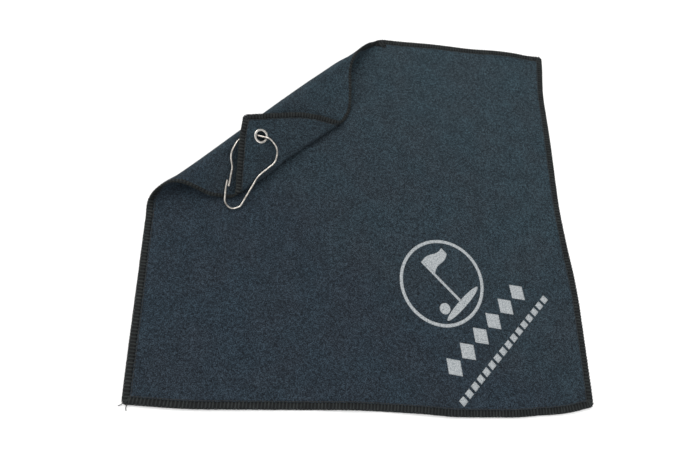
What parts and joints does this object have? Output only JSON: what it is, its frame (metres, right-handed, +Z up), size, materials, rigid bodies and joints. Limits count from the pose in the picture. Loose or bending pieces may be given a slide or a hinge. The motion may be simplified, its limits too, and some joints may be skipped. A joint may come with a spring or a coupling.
{
  "type": "golf towel with hook",
  "caption": "Flat microfibre golf towel with one corner folded over twice, overlocked edges, a corner eyelet and a spring-wire hook through it.",
  "frame": {"origin": "on the resting plane, under the centre of the towel as it lies", "axes": "+X to the right and +Y to the back of the towel as it lies, +Z up; the folded corner is at the back left"},
  "size_m": [0.4008, 0.3748, 0.0374],
  "materials": {
    "cloth": "short-pile microfibre, dark blue-grey",
    "edge_thread": "matt black looper thread",
    "needle_thread": "matt black needle thread",
    "eyelet_metal": "polished nickel plate",
    "hook_wire_metal": "polished nickel-plated spring wire",
    "print_ink": "thin silver-grey screen ink, broken up by the pile"
  },
  "bodies": {
    "root": {"towel_panel": "cloth", "overlock_bottom": "edge_thread", "needle_stitches_bottom": "needle_thread", "overlock_right": "edge_thread", "needle_stitches_right": "needle_thread", "overlock_left": "edge_thread", "needle_stitches_left": "needle_thread", "overlock_top": "edge_thread", "needle_stitches_top": "needle_thread", "printed_motif": "print_ink"},
    "corner": {"towel_folded_corner": "cloth", "overlock_left_folded": "edge_thread", "overlock_top_folded": "edge_thread", "needle_stitches_left_folded": "needle_thread", "needle_stitches_top_folded": "needle_thread", "eyelet_barrel": "eyelet_metal", "eyelet_washer": "eyelet_metal"},
    "hook": {"hook_wire": "hook_wire_metal"},
    "latch": {"hook_latch_leg": "hook_wire_metal"}
  },
  "joints": [
    {"name": "corner_lift", "type": "hinge", "parent": "root", "child": "corner", "pos_m": [-0.09803, 0.08503, 0], "axis": [-0.7071, -0.7071, 0], "range_deg": [0, 90]},
    {"name": "hook_swing", "type": "hinge", "parent": "corner", "child": "hook", "pos_m": [-0.10571, 0.04519, 0.024], "axis": [-0.9114, -0.4115, 0], "range_deg": [0, 90]},
    {"name": "clip_open", "type": "hinge", "parent": "hook", "child": "latch", "pos_m": [-0.12565, 0.03834, 0.02474], "axis": [0.1448, -0.3207, 0.9361], "range_deg": [0, 6], "stiffness_Nm_per_rad": 0.5, "springref_deg": -3.44}
  ]
}
